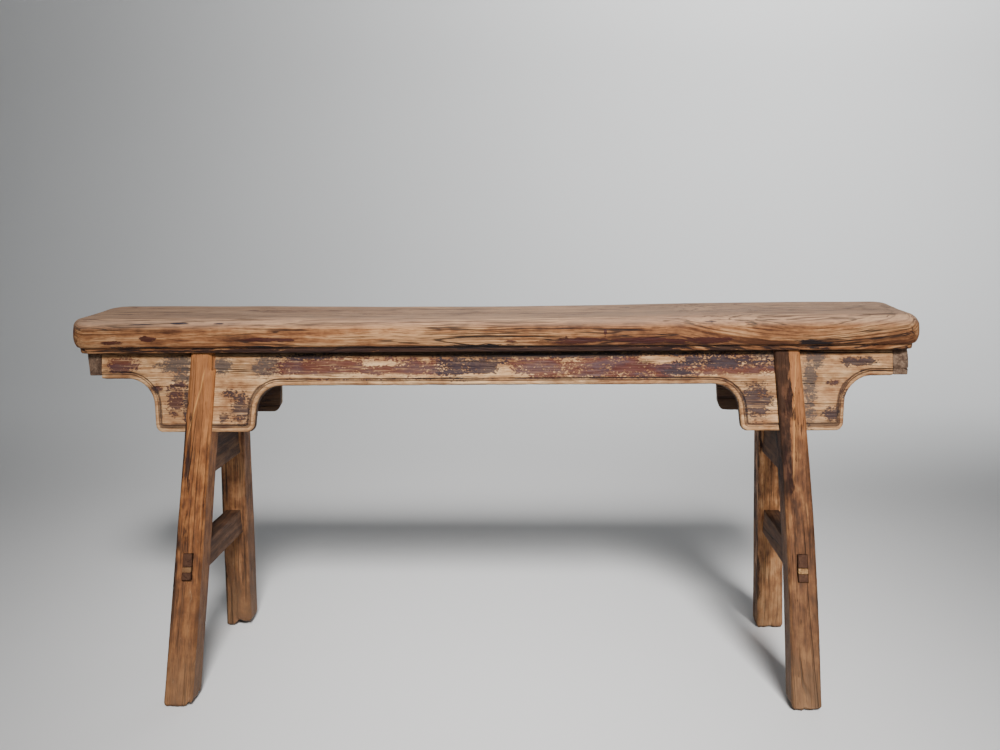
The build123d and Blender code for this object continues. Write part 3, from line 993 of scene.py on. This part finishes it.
def fray_foot(bm, leg_name, seed, loss):
    """Wear a foot ragged: rounded under, notched and split up from the end grain."""
    middle_x = leg_middles[leg_name][1]
    worn_height = 0.016
    for vert in bm.verts:
        if vert.co.z < worn_height:
            share = 1 - vert.co.z / worn_height
            p = Vector((vert.co.x * 120, vert.co.y * 120, seed))
            ragged = max(0.0, noise.noise(p) + 0.15) * 0.0062
            ragged += max(0.0, noise.noise(p * 2.7)) * 0.0026
            gone = loss((vert.co.x - middle_x) / (leg_foot_width / 2))
            vert.co.z += share * (ragged + gone)


def no_loss(*place):
    """A foot or a cheek with nothing broken off."""
    return 0.0


# ---- rails, tenons and wedges

def add_bar(bm, end_name, heights, half, near, far):
    """Bar between the middles of two legs; near and far give its ends at a height."""
    level = sum(heights) / 2
    inner = outward(level, leg_face - leg_depth)
    front_x = leg_middle("front_" + end_name, level)
    rear_x = leg_middle("rear_" + end_name, level)
    made = bmesh.ops.create_cube(bm, size=1.0)
    for vert in made["verts"]:
        height = heights[1] if vert.co.z > 0 else heights[0]
        y = far(height) if vert.co.y > 0 else near(height)
        x = (front_x + rear_x) / 2 + (rear_x - front_x) * y / (2 * inner)
        vert.co = Vector((x + (half if vert.co.x > 0 else -half), y, height))
    edges = dict.fromkeys(edge for vert in made["verts"] for edge in vert.link_edges)
    soften(bm, list(edges), 0.0010, 2)


def add_bar_ends(bm, end_name, heights, half, proud):
    """The two ends of a bar, seen where they come through the outer faces of the legs."""
    add_bar(
        bm, end_name, heights, half,
        lambda z: -leg_outside(z) - proud, lambda z: -leg_outside(z) + tenon_sink,
    )
    add_bar(
        bm, end_name, heights, half,
        lambda z: leg_outside(z) - tenon_sink, lambda z: leg_outside(z) + proud,
    )


def leg_inside(height):
    return outward(height, leg_face - leg_depth)


def leg_outside(height):
    return outward(height, leg_face) - 0.0010


def shape_rail(end_name, heights, through, seed):
    """A cross rail between two legs; through gives it tenon ends, split above by a wedge."""
    bm = bmesh.new()
    add_bar(
        bm, end_name, heights, stretcher_half,
        lambda z: -leg_inside(z) + fit_gap, lambda z: leg_inside(z) - fit_gap,
    )
    if through:
        for low, high in ((tenon_heights[0], wedge_heights[0]), (wedge_heights[1], tenon_heights[1])):
            add_bar_ends(bm, end_name, (low + 0.0005, high - 0.0003), tenon_half - 0.0003, 0.0)
    bmesh.ops.recalc_face_normals(bm, faces=bm.faces[:])
    slice_piece(bm, (0, 1, 0), spaced(-0.14, 0.14, 0.004))
    slice_piece(bm, (0, 0, 1), spaced(heights[0], heights[1], 0.004))
    middle = leg_middle("front_" + end_name, sum(heights) / 2)
    slice_piece(bm, (1, 0, 0), spaced(middle - 0.02, middle + 0.02, 0.004))
    roughen(bm, (0, 1, 0), 0.0004, 0.0002, seed)
    chip(bm, (0, 1, 0), 0.0012, seed, ((1, 0, 0), (0, 1, 0), (0, 0, 1)))
    return bm


def shape_wedges():
    bm = bmesh.new()
    heights = (wedge_heights[0] + fit_gap, wedge_heights[1] - fit_gap)
    for end_name in ("left", "right"):
        add_bar_ends(bm, end_name, heights, tenon_half - 0.0004, 0.0006)
    bmesh.ops.recalc_face_normals(bm, faces=bm.faces[:])
    slice_piece(bm, (0, 0, 1), spaced(wedge_heights[0], wedge_heights[1], 0.0015))
    slice_piece(bm, (1, 0, 0), spaced(-0.41, -0.38, 0.002) + spaced(0.38, 0.41, 0.002))
    roughen(bm, (0, 1, 0), 0.0002, 0.0002, 9.0)
    return bm


# ---- assembly

make_piece(shape_seat(), "seat", seat_finish(), ["seat_plank"], 50.0)

board_paints = {-1: board_finish("elm_front_boards", 2.0), 1: board_finish("elm_rear_boards", 3.0)}
for side, face_name in ((-1, "front"), (1, "rear")):
    make_piece(
        shape_apron(side, 2.0 + side), face_name + "_apron_board", board_paints[side],
        [face_name + "_apron"],
    )
    for end_name, middle in zip(("left", "right"), spandrel_middles[side]):
        node_name = "spandrel_" + face_name + "_" + end_name
        make_piece(
            shape_spandrel(side, middle, 6.0 + side + middle), node_name + "_board",
            board_paints[side], [node_name],
        )

end_paint = end_board_finish()
for end_name, end_sign, low in (("left", -1, 0.4235), ("right", 1, board_end_height)):
    make_piece(
        shape_end_board(end_sign, low), end_name + "_end_board", end_paint,
        [end_name + "_end_apron"],
    )


def front_left_cheek(beside, height):
    """A splinter gone from the top right of the front left leg."""
    if height > 0.428 and beside > 0.55:
        return min(1.0, (height - 0.428) / 0.003) * min(1.0, (beside - 0.55) / 0.12) * 0.9
    return 0.0


def notched(place):
    """A corner broken off the foot."""
    return 0.0045 * max(0.0, min(1.0, (place - 0.45) / 0.3))


def rounded(place):
    """Both corners of the foot worn round."""
    return 0.0035 * abs(place) ** 3


def split_notch(place):
    """A wide piece broken out from under the foot."""
    return 0.007 * max(0.0, min(1.0, (place + 0.25) / 0.12))


leg_paints = {
    "front_left": leg_finish(
        "front_left", srgb(74, 40, 19), srgb(119, 71, 35), srgb(156, 104, 60),
        (-1.05, 0.0, 0.0), (0.13, 9.9, 0.350, 0.425, 0.75), 11.0,
    ),
    "front_right": leg_finish(
        "front_right", srgb(64, 38, 21), srgb(106, 66, 38), srgb(146, 102, 64),
        (0.11, 3.5, 0.264), (0.45, 4.0, 0.300, 0.440, 0.6), 13.0,
    ),
    "rear_left": leg_finish(
        "rear_left", srgb(82, 52, 32), srgb(130, 84, 52), srgb(168, 120, 80),
        (-0.9, 0.0, 0.0), (0.2, 1.0, 0.10, 0.30, 0.3), 15.0,
    ),
    "rear_right": leg_finish(
        "rear_right", srgb(118, 76, 48), srgb(178, 122, 78), srgb(214, 162, 112),
        (-0.9, 0.0, 0.0), (-0.2, 1.0, 0.10, 0.30, 0.3), 17.0,
    ),
}
foot_losses = {
    "front_left": notched, "front_right": rounded, "rear_left": split_notch, "rear_right": no_loss
}
for number, leg_name in enumerate(leg_middles):
    cheek = front_left_cheek if leg_name == "front_left" else no_loss
    bm = shape_leg(leg_name, 3.0 + number * 2.0, foot_losses[leg_name], cheek)
    make_piece(bm, leg_name + "_leg", leg_paints[leg_name], ["leg_" + leg_name])

rail_paint = rail_finish()
for end_name in ("left", "right"):
    for rail_name, heights, through in (("upper", upper_rail, False), ("lower", lower_rail, True)):
        node_name = rail_name + "_stretcher_" + end_name
        bm = shape_rail(end_name, heights, through, 5.0 + len(node_name))
        make_piece(bm, node_name + "_rail", rail_paint, [node_name])

make_piece(shape_wedges(), "wedges", wedge_finish(), ["tenon_wedges"])

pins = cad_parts["spandrel_pins"]
pins.data.materials.clear()
pins.data.materials.append(bamboo_finish())


# ---- studio

def shape_sweep():
    """Floor that curves up into a plain backdrop."""
    bm = bmesh.new()
    left = bm.verts.new((-6.0, -4.0, 0.0))
    right = bm.verts.new((6.0, -4.0, 0.0))
    turn_start, turn_radius = 1.9, 1.1
    made = bmesh.ops.extrude_edge_only(bm, edges=[bm.edges.new((left, right))])
    verts = new_verts(made)
    bmesh.ops.translate(bm, verts=verts, vec=(0, turn_start + 4.0, 0))
    line = [
        item for item in made["geom"]
        if isinstance(item, bmesh.types.BMEdge) and all(v in verts for v in item.verts)
    ]
    made = bmesh.ops.spin(
        bm, geom=line + list(line[0].verts), cent=(0, turn_start, turn_radius), axis=(1, 0, 0),
        angle=pi / 2, steps=24,
    )
    last = [item for item in made["geom_last"] if isinstance(item, bmesh.types.BMEdge)]
    made = bmesh.ops.extrude_edge_only(bm, edges=last)
    bmesh.ops.translate(bm, verts=new_verts(made), vec=(0, 0, 4.0))
    bmesh.ops.recalc_face_normals(bm, faces=bm.faces[:])
    return bm


def sweep_finish():
    """Even pale grey, hardly clouded."""
    paint = Paint("pale_sweep")
    cloud = paint.noise(paint.where, (0.8, 0.8, 0.8), 2.0)
    colour = paint.ramp(cloud, [(0.3, srgb(224, 224, 224)), (0.7, srgb(227, 227, 227))])
    return paint.finish(colour, 0.9 + cloud * 0.05, cloud, 0.0005)


sweep_mesh = bpy.data.meshes.new("sweep")
sweep_bm = shape_sweep()
sweep_bm.to_mesh(sweep_mesh)
sweep_bm.free()
sweep_mesh.polygons.foreach_set("use_smooth", [True] * len(sweep_mesh.polygons))
sweep_mesh.materials.append(sweep_finish())
sweep = bpy.data.objects.new("sweep", sweep_mesh)
bpy.context.scene.collection.objects.link(sweep)


def add_light(name, place, aim, size, power, tint, spread):
    data = bpy.data.lights.new(name, "AREA")
    data.shape = "RECTANGLE"
    data.size, data.size_y = size
    data.energy = power
    data.color = tint
    data.spread = radians(spread)
    light = bpy.data.objects.new(name, data)
    light.location = place
    light.rotation_euler = (Vector(aim) - Vector(place)).to_track_quat("-Z", "Y").to_euler()
    bpy.context.scene.collection.objects.link(light)


add_light("key", (0.72, -3.9, 2.90), (0.10, -0.26, 0.09), (1.25, 1.50), 15.6, (1.0, 0.985, 0.97), 22)
add_light("wash", (1.15, 1.0, 2.7), (0.8, 3.0, 1.5), (1.7, 0.6), 62.0, (0.99, 1.0, 1.0), 120)

world = bpy.data.worlds.new("studio")
world.use_nodes = True
world.node_tree.nodes["Background"].inputs["Color"].default_value = (0.90, 0.95, 1.0, 1.0)
world.node_tree.nodes["Background"].inputs["Strength"].default_value = 0.098
bpy.context.scene.world = world

camera_data = bpy.data.cameras.new("camera")
camera_data.sensor_width = 36.0
camera_data.lens = 44.57
camera = bpy.data.objects.new("camera", camera_data)
camera_yaw, camera_pitch, camera_roll = radians(-2.556), radians(-9.37), radians(-0.682)
camera.matrix_world = (
    Matrix.Translation((0.0823, -1.6746, 0.6865))
    @ Matrix.Rotation(-camera_yaw, 4, "Z")
    @ Matrix.Rotation(pi / 2 + camera_pitch, 4, "X")
    @ Matrix.Rotation(camera_roll, 4, "Z")
)
bpy.context.scene.collection.objects.link(camera)
bpy.context.scene.camera = camera
